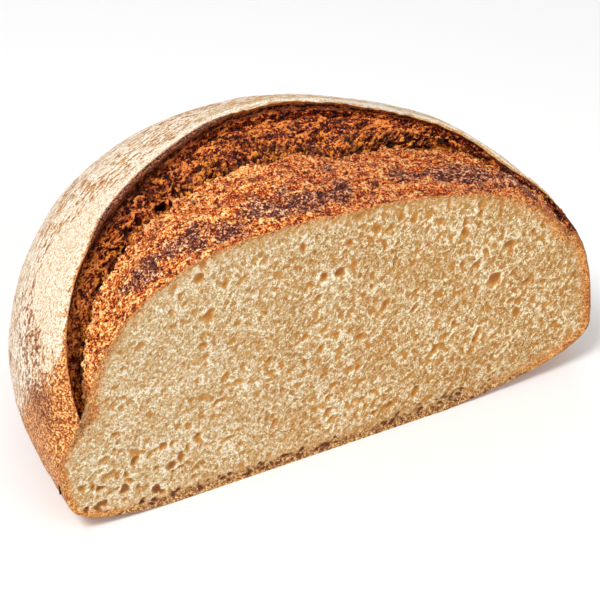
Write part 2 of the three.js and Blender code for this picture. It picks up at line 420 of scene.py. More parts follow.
def blended(share, first, second, blend="MIX"):
    """A colour that goes over from the first to the second."""
    node = share.node("ShaderNodeMix")
    node.data_type = "RGBA"
    node.blend_type = blend
    for socket, figure in zip((node.inputs[0], *node.inputs[6:8]), (share, first, second)):
        put(socket, figure)
    return Figure(node.outputs[2])


def joined(x, y):
    return Figure(fed(x.node("ShaderNodeCombineXYZ"), X=x, Y=y).outputs[0])


def noise(places, size, detail, roughness, shift=0.0):
    """Cloudy noise with patches of the given size in the places' own units."""
    node = places.node("ShaderNodeTexNoise")
    node.noise_dimensions = "4D"
    fed(node, Vector=places, W=shift, Scale=1 / size, Detail=detail, Roughness=roughness)
    return Figure(node.outputs["Fac"])


def ramp(value, *stops):
    """Colour that runs through the stops, each a place and a paint-chart colour."""
    node = value.node("ShaderNodeValToRGB")
    put(node.inputs[0], value)
    elements = node.color_ramp.elements
    while len(elements) < len(stops):
        elements.new(0.5)
    for element, (place, *paint) in zip(elements, stops):
        element.position = place
        element.color = colour(*paint)
    return Figure(node.outputs[0])


def coated(shader, surface, roughness, gloss=0.5):
    put(shader.inputs["Base Color"], surface)
    put(shader.inputs["Specular IOR Level"], gloss)
    fed(shader, Roughness=roughness)


def raised(shader, height, distance, strength=1.0):
    bump = fed(height.node("ShaderNodeBump"), Height=height, Distance=distance, Strength=strength)
    fed(shader, Normal=Figure(bump.outputs[0]))


def flour_finish():
    material, tree, shader = new_finish("dusted crust")
    spot, along, below, height, behind, turn = carried(tree, "along below height behind turn")
    fine = noise(spot, FINE_GRAIN, 2, 0.6)
    speck = noise(spot, 1.4 * MM, 3, 0.7, 3)
    blot = noise(spot, 4 * MM, 3, 0.6, 5)
    cloud = noise(spot, 20 * MM, 3, 0.5, 7)
    dash = noise(joined(along * 0.42, below), 1.45, 2, 0.65, 1)
    streak = noise(joined(along, below * 0.2), 1.1, 2, 0.65, 2)
    mixed = fine * 0.6 + speck * 0.4

    low_left = between(turn, 2.45, 2.75) * between(height, 86, 70)
    near_top = between(below + blot * 24, 52, 22)
    top_right = between(turn, 0.95, 0.45) * near_top

    crust = ramp(
        mixed, (0.435, 116, 46, 16), (0.48, 178, 88, 30), (0.52, 216, 134, 56), (0.575, 254, 208, 138)
    )
    russet = ramp(mixed, (0.43, 60, 20, 12), (0.5, 130, 60, 28), (0.58, 206, 140, 88))
    outer = between(behind + blot * 20, 36, 60, 0, 0.4)
    still_floured = low_left * between(height, 44, 56) * between(below, 10, 22)
    crust = blended(larger(outer, still_floured) * 0.7, crust, russet)
    gold = ramp(mixed, (0.40, 160, 98, 46), (0.5, 204, 152, 88), (0.60, 238, 204, 150))
    gilded = between(turn, 2, 1.65) * near_top
    tanned = between(turn, 2.6, 2.3) * between(below, 80, 50, 0, 0.35)
    crust = blended(larger(gilded, tanned), crust, gold)

    flour = ramp(
        mixed, (0.43, 206, 170, 128), (0.47, 232, 209, 175), (0.51, 244, 229, 205), (0.55, 255, 251, 242)
    )
    grey_back = between(turn, 1.35, 1.05) * between(turn, 0.5, 0.8) * between(below, 45, 20)
    flour = blended(grey_back * 0.6, flour, colour(204, 196, 182))
    near_ear = between(turn, 2.2, 2.5) * between(below, 40, 20)
    flour = blended(near_ear, flour, colour(249, 241, 232), "MULTIPLY")

    clean_width = 5 + between(abs(turn - 2.66), 0.34, 0.12) * 24
    ragged = below + (blot - 0.5) * 14
    clean = between(ragged - clean_width, 5, -4) * between(height, 72, 84)
    worn = between(turn, 1.85, 1.55) * between(turn, 1.1, 1.35)
    low = between(height + blot * 16, 34, 16)
    edge = between(below, 3.6, 0.6, 0, 0.75)
    rub = behind + height * 0.62 + (blot - 0.5) * 22
    rubbed = between(rub, 66, 42) * between(turn, 1.9, 2.5)
    bareness = between(cloud, 0.3, 0.7, 0.42, 0.6) + clean * -0.6 + top_right * 0.3
    bareness = bareness + worn * 0.12 + low + edge + rubbed

    flecks = crossed(low_left, dash, noise(spot, 1.8 * MM, 2, 0.6, 8))
    flecks = crossed(top_right, flecks, speck)
    flecks = crossed(low_left * between(height, 62, 50) * 0.75, flecks, streak)
    flecks = flecks + (fine - 0.5) * 0.18
    bare = between(flecks - (0.72 - bareness * 0.38), -0.002, 0.014)
    surface = blended(bare, flour, crust)
    baked_lip = between(turn, 2.75, 2.5) * between(turn, 1.6, 1.8)
    past_edge = below + fine - baked_lip * 2.2
    surface = blended(between(past_edge, 1.4, 0.8, 0, 0.75), surface, colour(184, 108, 46))
    burnt = ramp(mixed, (0.44, 20, 5, 4), (0.5, 72, 27, 16), (0.56, 178, 104, 68))
    surface = blended(between(past_edge, 0.7, 0.3), surface, burnt)

    coated(shader, surface, between(bare, 0, 1, 0.95, 0.6), 0.3)
    raised(shader, mixed - bare * 0.6, 0.4 * MM)
    return material


floured_crust.data.materials.append(flour_finish())
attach(floured_crust, "root")
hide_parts("sourdough_loaf")


# Bare crown
# The front lip of the score: skin with no flour that the oven stretched and blistered. It rises
# to a torn golden edge over the valley and is mottled dark where it lay nearest the heat.
CROWN_HALF_WIDTH_LEFT = 110.5
CROWN_HALF_WIDTH_RIGHT = 116.5
CROWN_HALF_DEPTH = 98.0
CROWN_RISE = 91.5
CROWN_TILT = 0.055
CROWN_POWER = 2.7
CROWN_SWELL_RIGHT = 4.0
CROWN_LIP_RISE = 3.0
CROWN_LIP_WIDTH = 4.0
CROWN_MELT = 26.0
VALLEY_HALF_WIDTH_LEFT = 107.0
VALLEY_HALF_WIDTH_RIGHT = 108.0
VALLEY_SPREAD = 103.0
VALLEY_REACH = 51.0
VALLEY_DEPTH = (12.0, 8.0, 0.5)  # at the left end, the back and the right end
NARROWEST_WALL = 3.0
BAY_ANGLE = 1.05
BAY_WIDTH = 0.3
BAY_DEPTH = 7.0
CROWN_COLUMNS = 621
CROWN_ROWS = 149
CROWN_LIP_SHARE = 0.16
CROWN_REACH = 70.0
CROWN_SMALL_PITS = 900
CARVE_PITCH = 0.3
THREAD_WIDTH = 0.3
# Across, behind, and reach each way.
SCORCHED_PATCHES = (
    (-58, 14, 13, 9), (-46, 8, 8, 6), (-78, 10, 9, 6), (-72, 15, 5, 7), (-28, 15, 13, 8),
    (-12, 14, 12, 8), (0, 9, 12, 6), (7, 16, 4, 4), (8, 32, 3, 5), (36, 17, 9, 5),
    (52, 16, 10, 6), (68, 14, 14, 8), (86, 12, 9, 7),
)
# Across, behind, half-length, half-width, lean in degrees, depth.
CROWN_PITS = (
    (20, 14, 2.1, 1.4, 80, 2.2), (-12, 17, 1.6, 1.4, 0, 1.8), (-30, 15.7, 4.5, 0.9, 20, 1.4),
    (-18.6, 14, 3.5, 0.9, -10, 1.4), (-72.6, 13.3, 4.5, 0.9, 80, 1.6),
    (-66, 12, 3.0, 0.8, 60, 1.3), (6.2, 16, 2.2, 1.6, 30, 1.8), (1.8, 4.6, 1.4, 0.9, 0, 1.2),
    (-40.8, 25, 1.8, 1.0, 40, 1.3), (37, 21, 6.5, 0.9, -45, 1.5), (-57, 17, 2.4, 1.2, 45, 1.4),
)


def valley_reach(angle):
    left = angle > math.pi / 2
    power = np.where(left, 2.0, 2.6)
    half_width = np.where(left, VALLEY_HALF_WIDTH_LEFT, VALLEY_HALF_WIDTH_RIGHT)
    c, s = np.abs(np.cos(angle)) / half_width, np.maximum(np.sin(angle), 0) / VALLEY_REACH
    oval = (c**power + s**power) ** (-1 / power)
    ear_reach = skin_reach(angle, ear_height(angle))
    bay = BAY_DEPTH * hump(angle - BAY_ANGLE, BAY_WIDTH)
    return np.minimum(oval - bay, ear_reach - NARROWEST_WALL)


def crown_height(x, y):
    half_width = np.where(x < 0, CROWN_HALF_WIDTH_LEFT, CROWN_HALF_WIDTH_RIGHT)
    outness = ((x / half_width) ** 2 + (y / CROWN_HALF_DEPTH) ** 2) ** (CROWN_POWER / 2)
    share = np.clip(1 - outness, 0, 1) ** (1 / CROWN_POWER)
    blister = 0.5 * np.sin(x / 6.1 + 1.3) * np.sin(y / 5.3) + 0.4 * np.sin(x / 11 - y / 9 + 2)
    swell = CROWN_SWELL_RIGHT * ease(50, 90, x) * ease(0, 20, y)
    return BELT_HEIGHT + (CROWN_RISE - CROWN_TILT * x) * share + swell + blister * ease(0, 12, y)


def crown_top(x, y):
    angle = np.arctan2(y, x)
    edge = valley_reach(angle) - CROWN_LIP_WIDTH
    rise = CROWN_LIP_RISE * ease(0.05, 0.5, np.sin(angle))
    rise = rise * (1 - 0.6 * hump(angle - BAY_ANGLE, BAY_WIDTH))
    return crown_height(x, y) + rise * hump(np.hypot(x, y) - edge, CROWN_MELT)


def valley_floor(angle):
    reach = valley_reach(angle)
    level = crown_height(reach * np.cos(angle), reach * np.sin(angle))
    return level - around(*VALLEY_DEPTH, angle)


def oval_angles(count):
    """Angles from the left end to the right, evenly spread along the valley."""
    turn = np.linspace(math.pi, 0, count)
    return np.arctan2(VALLEY_REACH * np.sin(turn), VALLEY_SPREAD * np.cos(turn))


def crown_sheet():
    """Rows from the cut back to the torn lip and down it, columns from left to right."""
    angle, share = np.meshgrid(oval_angles(CROWN_COLUMNS), np.linspace(0, 1, CROWN_ROWS))
    edge = valley_reach(angle) - CROWN_LIP_WIDTH
    run = np.clip(share / (1 - CROWN_LIP_SHARE), 0, 1)
    x = edge * np.cos(angle)
    y = np.maximum(edge * np.sin(angle), 0) * run
    top = np.stack([x, y, crown_top(x, y)], -1)
    drop = np.clip(1 + (share - 1) / CROWN_LIP_SHARE, 0, 1)
    reach = mix(edge, valley_reach(angle), drop)
    x, y = reach * np.cos(angle), np.maximum(reach * np.sin(angle), 0)
    lip_z = mix(crown_top(x, y), valley_floor(angle), 1 - np.sqrt(1 - drop**2))
    lip = np.stack([x, y, lip_z], -1)
    points = np.where((drop > 0)[..., None], lip, top)
    return angle, points, run, drop


crown_angle, crown_points, crown_run, crown_drop = crown_sheet()


def carved(width, height, hollows):
    """Depth of a cut sheet once every egg-shaped hollow that it meets is opened."""
    depth = np.zeros((int(height / CARVE_PITCH) + 2, int(width / CARVE_PITCH) + 2))
    for x, z, long, wide, deep, lean, sink in hollows:
        left, right = int((x - long) / CARVE_PITCH), int((x + long) / CARVE_PITCH) + 2
        low, high = int((z - long) / CARVE_PITCH), int((z + long) / CARVE_PITCH) + 2
        left, low = max(left, 0), max(low, 0)
        here = depth[low:high, left:right]
        if here.size == 0:
            continue
        dx = (np.arange(left, left + here.shape[1]) * CARVE_PITCH - x)[None, :]
        dz = (np.arange(low, low + here.shape[0]) * CARVE_PITCH - z)[:, None]
        c, s = math.cos(lean), math.sin(lean)
        inside = 1 - ((dx * c + dz * s) / long) ** 2 - ((dz * c - dx * s) / wide) ** 2
        half = deep * np.sqrt(np.maximum(inside, 0)) * (1 + 0.5 * dz / long)
        row = min(max(int(z / CARVE_PITCH), 0), depth.shape[0] - 1)
        column = min(max(int(x / CARVE_PITCH), 0), depth.shape[1] - 1)
        centre = depth[row, column] + sink * deep
        opened = (inside > 0) & (centre - half < here)
        here[opened] = np.maximum(here[opened], (centre + half)[opened])
    return depth


def read_off(sheet, x, z):
    """Depth between the points of a carved sheet."""
    column = np.clip(x / CARVE_PITCH, 0, sheet.shape[1] - 1.001)
    row = np.clip(z / CARVE_PITCH, 0, sheet.shape[0] - 1.001)
    c, r = column.astype(int), row.astype(int)
    u, v = column - c, row - r
    top = sheet[r, c] * (1 - u) + sheet[r, c + 1] * u
    return top * (1 - v) + (sheet[r + 1, c] * (1 - u) + sheet[r + 1, c + 1] * u) * v


def softened(sheet, reach):
    """A carved sheet blurred over the given number of points each way."""
    for axis in (0, 1, 0, 1):
        edges = [(reach + 1, reach) if axis == k else (0, 0) for k in (0, 1)]
        run = np.cumsum(np.pad(sheet, edges, "edge"), axis=axis)
        span, length = 2 * reach + 1, run.shape[axis]
        ahead = np.take(run, range(span, length), axis)
        sheet = (ahead - np.take(run, range(length - span), axis)) / span
    return sheet


def crown_hollows():
    pitting = np.random.default_rng(LOAF_SEED)
    for x, y, long, wide, lean, deep in CROWN_PITS:
        yield x + HALF_WIDTH, y, long, wide, deep, math.radians(lean), 0.0
    for _ in range(CROWN_SMALL_PITS):
        size = mix(0.5, 1.6, pitting.random() ** 2.5)
        x, y = pitting.uniform(-110, 110), pitting.uniform(1, 60)
        wide = size * pitting.uniform(0.4, 0.9)
        yield x + HALF_WIDTH, y, size, wide, wide * 0.8, pitting.normal(0.4, 0.7), 0.1


def threads(value):
    """Thin raised lines where a smooth random value passes through nought."""
    return np.maximum(1 - np.abs(value) / THREAD_WIDTH, 0)


crown_depth = softened(carved(2 * HALF_WIDTH, CROWN_REACH, crown_hollows()), 1)
wander = 1.2 * np.stack([swelling(crown_points, 4.0, 16), swelling(crown_points, 4.0, 17)])
crown_hollow = read_off(
    crown_depth, crown_points[..., 0] + HALF_WIDTH + wander[0], crown_points[..., 1] + wander[1]
)
scorch = 0 * crown_run
for x, y, long, wide in SCORCHED_PATCHES:
    dx, dy = (crown_points[..., 0] - x) / long, (crown_points[..., 1] - y) / wide
    scorch = np.maximum(scorch, np.exp(-(dx**2 + dy**2)))
grains = swelling(crown_points, 0.9, 11) + swelling(crown_points, 1.35, 12)
lumps = swelling(crown_points * [1, 1.4, 1], 5.0, 14) + 0.7 * swelling(crown_points, 9.0, 15)
bent = crown_points + 1.4 * np.stack([wander[0], wander[1], 0 * wander[0]], -1)
wrinkles = threads(swelling(bent * [0.7, 1.2, 1], 3.4, 18)) + 0.7 * threads(swelling(bent, 1.9, 19))
clear = ease(0, 0.9, crown_points[..., 1])
ripple = 0.3 * swelling(crown_points, 2.6, 20)
crown_relief = 0.8 * lumps + ripple + clear * (0.26 * grains + 0.8 * wrinkles - 1.2 * crown_hollow)
crown_calm = ease(1, 0.8, crown_drop) * (0.7 + 0.5 * ease(0.7, 1.0, crown_run))
moved = outward(crown_points) * (crown_relief * crown_calm)[..., None]
crown_points = crown_points + moved
crown_points[0, :, 1] = 0
crown_inner = drawn_in(crown_points)

bare_crown = finished_sheet(
    "bare_crown",
    crown_points,
    crown_inner,
    inward=crown_run,
    drop=crown_drop,
    grain=0.6 * grains + 1.3 * wrinkles - 0.6,
    hollow=crown_hollow,
    scorch=scorch,
    turn=crown_angle,
)


def stirred(places, size, amount):
    """Places pushed about by noise, so that what is laid there wanders."""
    node = fed(places.node("ShaderNodeTexNoise"), Vector=places, Scale=1 / size)
    push = places.node("ShaderNodeVectorMath")
    push.operation = "MULTIPLY_ADD"
    put(push.inputs[0], Figure(node.outputs["Color"]))
    push.inputs[1].default_value = (amount, amount, amount)
    put(push.inputs[2], places)
    return Figure(push.outputs[0])


def cell_walls(places, size):
    """Distance to the nearest wall of a foam with cells of the given size."""
    node = places.node("ShaderNodeTexVoronoi")
    node.feature = "DISTANCE_TO_EDGE"
    fed(node, Vector=places, Scale=1 / size)
    return Figure(node.outputs["Distance"])


def crown_finish():
    material, tree, shader = new_finish("blistered crown")
    spot, inward, drop, grain, hollow, scorch, turn = carried(
        tree, "inward drop grain hollow scorch turn"
    )
    fine = noise(spot, FINE_GRAIN, 2, 0.6, 2)
    speck = noise(spot, 1.3 * MM, 3, 0.7, 4)
    patch = noise(spot, 6.5 * MM, 4, 0.6, 6)

    left_half = between(turn, 1.6, 2.1)
    edge_gold = between(inward, 0.6, 0.95, 0, 0.9) * left_half
    # The grain mark follows the relief, so raised grains and wrinkles are painted lighter and low ones
    # darker: painted highlight and shade.
    tone = fine * 0.55 + speck * 0.35 + (0.057 + grain * 0.042) + edge_gold * 0.008
    golden = ramp(
        tone,
        (0.43, 70, 12, 4),
        (0.472, 148, 44, 10),
        (0.502, 214, 97, 24),
        (0.54, 250, 150, 52),
        (0.59, 255, 228, 156),
    )
    purple = ramp(
        tone,
        (0.43, 30, 6, 10),
        (0.476, 68, 23, 22),
        (0.506, 122, 52, 36),
        (0.54, 194, 110, 72),
        (0.585, 255, 208, 164),
    )
    dark = scorch + (patch - 0.5) * 3.2 - edge_gold
    surface = blended(between(dark, 0.25, 0.75, 0, 0.9), golden, purple)
    # Dark lines along the folds in the dark patches, which the bump also sinks: painted shade in the
    # creases.
    folds = cell_walls(stirred(spot, 5 * MM, 6 * MM), 5.5 * MM)
    crease_shade = between(folds, 0.07, 0.015) * between(dark, 0.1, 0.5, 0.05, 0.55)
    surface = blended(crease_shade, surface, colour(52, 16, 14))
    reddish = between(noise(spot, 11 * MM, 3, 0.6, 8), 0.45, 0.62, 0, 0.45)
    reddish = larger(reddish, between(left_half, 0, 1, 0.46, 0))
    surface = blended(reddish, surface, colour(178, 112, 100), "MULTIPLY")
    # The pits darken with their depth, and the lip darkens as it drops into the valley: painted shade.
    surface = blended(between(hollow, 0.25, 1.1, 0, 0.85), surface, colour(66, 20, 14))
    surface = blended(between(inward, 0.04, 0) * 0.12, surface, colour(168, 78, 34))
    surface = blended(between(drop, 0.25, 0.95, 0, 0.7), surface, colour(116, 54, 18))

    coated(shader, surface, between(fine, 0.3, 0.7, 0.4, 0.66), 0.24)
    raised(shader, tone - crease_shade * 0.6, 0.5 * MM)
    return material


bare_crown.data.materials.append(crown_finish())
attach(bare_crown, "root")
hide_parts("sourdough_loaf")


# Torn wall
# Where the score burst open: raw dough pulled apart into webs and pockets, then baked golden
# low down and red-brown under the ear, whose thick edge is burnt dark.
WALL_COLUMNS = 701
WALL_ROWS = 119
LIP_SHARE = 0.12
CRAG_HEIGHT = 0.95
# Along the valley, share of the way up, half-length, half-width, depth.
WALL_CAVITIES = (
    (47, 0.45, 2.6, 1.3, 1.6), (60, 0.30, 4.0, 1.6, 2.2), (69, 0.28, 4.5, 2.2, 3.0),
    (76, 0.42, 3.0, 1.6, 2.4), (84, 0.26, 4.2, 2.3, 3.6), (93, 0.45, 4.0, 1.8, 2.8),
    (101, 0.26, 4.5, 2.6, 4.0), (110, 0.42, 3.6, 1.8, 3.0), (119, 0.24, 4.5, 2.4, 4.0),
    (127, 0.42, 3.6, 1.9, 3.2), (136, 0.26, 4.0, 2.2, 4.0), (144, 0.44, 4.0, 1.8, 3.0),
    (153, 0.28, 4.0, 2.2, 3.5), (163, 0.36, 4.0, 2.0, 3.0), (173, 0.34, 3.6, 1.8, 2.5),
    (184, 0.38, 3.2, 1.6, 2.2),
)


def crag(along, across):
    ridges = np.sin(along / 4.3 + 5 * across) + 0.8 * np.sin(along / 2.9 - 9 * across + 1.7)
    ridges = ridges + 0.7 * np.sin(along / 8.1 + 14 * across)
    return CRAG_HEIGHT * ridges * np.sin(math.pi * across)


def wall_sheet():
    """Rows from the valley's floor up to the ear's edge, columns from left to right."""
    angle, share = np.meshgrid(oval_angles(WALL_COLUMNS), np.linspace(0, 1, WALL_ROWS))
    across = np.clip(share / (1 - LIP_SHARE), 0, 1)
    lip = np.clip(1 + (share - 1) / LIP_SHARE, 0, 1)
    valley = valley_reach(angle)
    ear = ear_height(angle)
    ear_reach = skin_reach(angle, ear)
    ear_drop = around(*EAR_DROP, angle)
    reach = mix(valley, ear_reach, across) - EAR_OVERHANG * curl(angle) * lip
    z = mix(valley_floor(angle), ear - ear_drop, ease(-0.25, 1.15, across))
    z = z + crag(valley * angle, across) * (lip <= 0) + (ear_drop + EAR_LIFT * curl(angle)) * lip
    z = z + frayed_edge(angle) * lip**2
    points = on_loaf(angle, reach, z)
    points[..., 1] = np.maximum(points[..., 1], 0)
    return angle, points, across, lip


wall_angle, wall_points, wall_across, wall_lip = wall_sheet()
wall_along = walked(wall_points, 1)[WALL_ROWS // 2] + 0 * wall_angle
wall_up = walked(wall_points, 0)
wall_length, wall_width = wall_along.max(), wall_up.max()
web = np.random.default_rng(LOAF_SEED)


def local_width(x):
    return np.interp(x, wall_along[0], wall_up[-1])


def web_hollows():
    for x, share, long, wide, deep in WALL_CAVITIES:
        yield x, local_width(x) * share, long, wide, deep, 0.15, 0.2
    # How many, their half-length, half-width and depth from and to, and how far up they go.
    for count, long, wide, deep, reach in (
        (260, (1.6, 3.6), (0.7, 1.4), (0.7, 1.9), 0.66),
        (2400, (0.9, 2.2), (0.4, 0.9), (0.5, 1.2), 0.9),
        (7000, (0.5, 1.2), (0.3, 0.6), (0.3, 0.7), 0.97),
    ):
        for _ in range(count):
            x = web.uniform(0, wall_length)
            z = local_width(x) * web.uniform(0.02, reach)
            lean = web.normal(0.1, 0.6)
            size = [web.uniform(*span) for span in (long, wide, deep)]
            yield x, z, *size, lean, web.uniform(-0.3, 0.5)


wall_depth = carved(wall_length, wall_width, web_hollows())
wall_soft = softened(wall_depth, 5)
twist_along = 1.1 * swelling(wall_points, 5.0, 23) + 0.5 * swelling(wall_points, 2.2, 24)
twist_up = 1.1 * swelling(wall_points, 5.0, 25) + 0.5 * swelling(wall_points, 2.2, 26)
wall_hollow = read_off(wall_depth, wall_along + twist_along, wall_up + twist_up)
wall_hollow = np.minimum(wall_hollow, 0.2 + 0.5 * wall_up)
wall_ridge = read_off(wall_soft, wall_along + twist_along, wall_up + twist_up) - wall_hollow
pulled = np.stack([wall_along - 0.5 * wall_up, 0.3 * wall_up, 0 * wall_up], -1)
pulled = pulled + 0.8 * np.stack([twist_along, 0.4 * twist_up, 0 * twist_up], -1)
drawn_out = np.stack([0.3 * wall_along, wall_up, 0 * wall_up], -1)
drawn_out = drawn_out + 0.6 * np.stack([0.3 * twist_along, twist_up, 0 * twist_up], -1)
fibres = threads(swelling(pulled, 2.6, 28)) + 0.8 * threads(swelling(pulled, 1.5, 29))
streaks = threads(swelling(drawn_out, 2.2, 30)) + 0.8 * threads(swelling(drawn_out, 1.4, 31))
strands = mix(fibres, streaks, ease(0.45, 0.75, wall_across))
ends = ease(0, 5, wall_along) * ease(wall_length, wall_length - 5, wall_along)
foot = ease(0, 0.05, wall_across)
narrow = mix(0.25, 1, ease(3, 14, wall_up[-1:])) * mix(1, 0.5, ease(2.4, 2.85, wall_angle))
upper = 1 - 0.4 * ease(0.6, 0.95, wall_across)
grit = swelling(wall_points, 0.8, 21) + swelling(wall_points, 1.5, 22)
amount = ends * foot * narrow * upper * ease(0.6, 0.2, wall_lip)
ledges = swelling(pulled * [1, 2.5, 1], 8.0, 27) * amount
fray = 0.12 * grit + 0.85 * strands * ease(0.8, 0.3, wall_lip)
fray = fray * ends * foot * ease(1, 0.8, wall_lip)
wall_points = wall_points + outward(wall_points) * (fray + ledges - wall_hollow * amount)[..., None]
wall_inner = drawn_in(wall_points)
wall_inner[-1] = ear_flesh(wall_angle[-1])

torn_wall = finished_sheet(
    "torn_wall",
    wall_points,
    wall_inner,
    across=wall_across,
    lip=wall_lip,
    hollow=wall_hollow * amount,
    ridge=wall_ridge * amount,
    strand=strands,
    turn=wall_angle,
    across_fibre=pulled[..., 0],
    up_fibre=wall_up,
    along=wall_along,
)


def wall_finish():
    material, tree, shader = new_finish("torn dough")
    spot, across, lip, hollow, ridge, strand, turn, along, up_fibre, across_fibre = carried(
        tree, "across lip hollow ridge strand turn along up_fibre across_fibre"
    )
    fine = noise(spot, FINE_GRAIN, 2, 0.6, 1)
    speck = noise(spot, 1.3 * MM, 3, 0.7, 5)
    patch = noise(spot, 10 * MM, 3, 0.6, 3)
    upright = noise(joined(across_fibre, up_fibre * 0.3), 1, 2, 0.6, 6)
    lying = noise(joined(along * 0.3, up_fibre), 1, 2, 0.6, 7)

    level = across + (patch - 0.5) * 2
    fibre = crossed(between(level, 0.45, 0.8), upright, lying)
    # The wall's left end is painted lighter, and its painted cavern shade fainter, to lift the shadow
    # that the ear casts there: painted light.
    left_end_light = between(turn, 2.3, 2.85)
    # The raised ridges and strands are painted lighter than the dough between them: painted highlight.
    tone = fine * 0.4 + speck * 0.3 + fibre * 0.3 + ridge * 0.05 + strand * 0.09
    tone = tone + (left_end_light * 0.03 - 0.03)
    torn = stirred(spot, 4 * MM, 4 * MM)
    for size, depth in ((3.4 * MM, 0.075), (1.7 * MM, 0.05)):
        tone = tone + between(cell_walls(torn, size), 0.03, 0.22, 0.4 * depth, -0.4 * depth)
    golden = ramp(
        tone, (0.445, 34, 7, 2), (0.49, 96, 27, 5), (0.53, 162, 64, 10), (0.59, 238, 152, 54)
    )
    russet = ramp(
        tone, (0.44, 30, 6, 3), (0.488, 90, 18, 6), (0.526, 160, 51, 13), (0.585, 238, 148, 70)
    )
    surface = blended(between(level, 0.38, 0.72), golden, russet)
    # Dark cavern and pocket patches multiplied over the wall, the pockets low down: painted shade of
    # deep cavities that the mesh doesn't carve.
    cavern_shade = between(noise(stirred(spot, 3 * MM, 3 * MM), 4.5 * MM, 2, 0.5, 9), 0.5, 0.64)
    cavern_shade = cavern_shade * between(left_end_light, 0, 1, 0.75, 0.2)
    surface = blended(cavern_shade, surface, colour(120, 66, 40), "MULTIPLY")
    pocket_shade = between(noise(stirred(spot, 6 * MM, 6 * MM), 9 * MM, 2, 0.5, 12), 0.5, 0.6)
    pocket_shade = pocket_shade * between(across, 0.62, 0.4, 0, 0.7)
    surface = blended(pocket_shade, surface, colour(96, 52, 36), "MULTIPLY")
    # The hollows darken with their depth: painted shade.
    surface = blended(between(hollow, 0.8, 2.6, 0, 0.9), surface, colour(58, 16, 4))
    up_lip = lip - between(turn, 1.9, 2.4, 0.42, 0)
    crease = between(up_lip, 0.04, 0.14) * between(up_lip, 0.28, 0.2)
    crease = crease * between(patch, 0.42, 0.58, 0.1, 0.5)
    surface = blended(crease, surface, colour(180, 118, 82))
    burnt = ramp(tone, (0.45, 18, 4, 4), (0.52, 59, 20, 12), (0.59, 150, 79, 46))
    surface = blended(between(up_lip, 0.16, 0.32), surface, burnt)
    surface = blended(between(lip + fine * 0.3, 1.02, 1.16), surface, colour(190, 106, 46))

    coated(shader, surface, between(fine, 0.3, 0.7, 0.4, 0.62), 0.2)
    raised(shader, tone, 0.6 * MM)
    return material


torn_wall.data.materials.append(wall_finish())
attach(torn_wall, "root")
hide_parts("sourdough_loaf")


# Sliced crumb
# The inside of the loaf, laid open by the knife: soft, moist dough full of bubbles that the rise
# drew out upwards. It darkens to a thin rim under the crust and to a hard toasted layer below.
FACE_LEFT = -HALF_WIDTH - 2
FACE_WIDTH = 2 * HALF_WIDTH + 4
FACE_HEIGHT = 120.0
FACE_COLUMNS = 491
FACE_ROWS = 193
LOW_LEFT_PORES = 56
SOLE_PITS = 900
# Across, up, half-length, half-width, lean in degrees.
LARGE_PORES = (
    (76, 77, 3.2, 2.7, 30), (69.5, 62, 4.4, 3.0, 60), (87, 55.5, 4.4, 2.1, 35),
    (17, 95.5, 2.8, 1.9, 110), (-1.5, 88, 2.7, 2.2, 70), (18, 65, 5.4, 2.2, 55),
    (21.5, 12.5, 3.4, 2.3, 10), (40.5, 9.5, 2.6, 1.7, 20), (55, 8.5, 2.8, 1.6, 15),
    (-82.5, 10, 2.7, 2.1, 75), (-95.5, 14.5, 3.2, 1.9, 80), (-57, 86, 3.4, 2.2, 60),
)


def set_out(line, count, steepness):
    """A line of points set out again in even steps, counting a rise less than a run."""
    steps = np.hypot(np.diff(line[:, 0]), steepness * np.diff(line[:, 2]))
    run = np.append(0, np.cumsum(steps))
    wanted = np.linspace(0, run[-1], count)
    return np.stack([np.interp(wanted, run, line[:, k]) for k in range(3)], -1)


# The crown's ends stand in the cut only above the foot of the ear.
shown_left = crown_points[:, 0, 2] > skin_points[0, 0, 2]
shown_right = crown_points[:, -1, 2] > skin_points[0, -1, 2]


def face_sheet(skin, crown):
    """The cut face, spanned between its foot, its two sides and its torn top."""
    left = set_out(skin[::-1, 0], FACE_ROWS, 1.0)[:, None]
    right = set_out(skin[::-1, -1], FACE_ROWS, 1.0)[:, None]
    over_left = [skin[:1, 0], crown[shown_left, 0][::-1]]
    over_right = [crown[shown_right, -1], skin[:1, -1]]
    torn = np.concatenate([*over_left, crown[0], *over_right])
    top = set_out(torn, FACE_COLUMNS, 0.6)[None]
    foot = set_out(np.stack([skin[-1, 0], skin[-1, -1]]), FACE_COLUMNS, 1.0)[None]
    s = np.linspace(0, 1, FACE_COLUMNS)[None, :, None]
    t = np.linspace(0, 1, FACE_ROWS)[:, None, None]
    low = mix(foot[:, :1], foot[:, -1:], s)
    high = mix(top[:, :1], top[:, -1:], s)
    return mix(foot, top, t) + mix(left, right, s) - mix(low, high, t)


face_flat = face_sheet(skin_points, crown_points)
face_inner = face_sheet(skin_inner, crown_inner)
face_x, face_z = face_flat[..., 0], face_flat[..., 2]
outline = np.concatenate([face_flat[0], face_flat[-1], face_flat[:, 0], face_flat[:, -1]])
edge_tree = kdtree.KDTree(len(outline))
for i, point in enumerate(outline):
    edge_tree.insert(point, i)
edge_tree.balance()
face_gap = np.array([edge_tree.find(point)[2] for point in face_flat.reshape(-1, 3)])
face_gap = face_gap.reshape(face_x.shape)

crumb = np.random.default_rng(LOAF_SEED + 1)


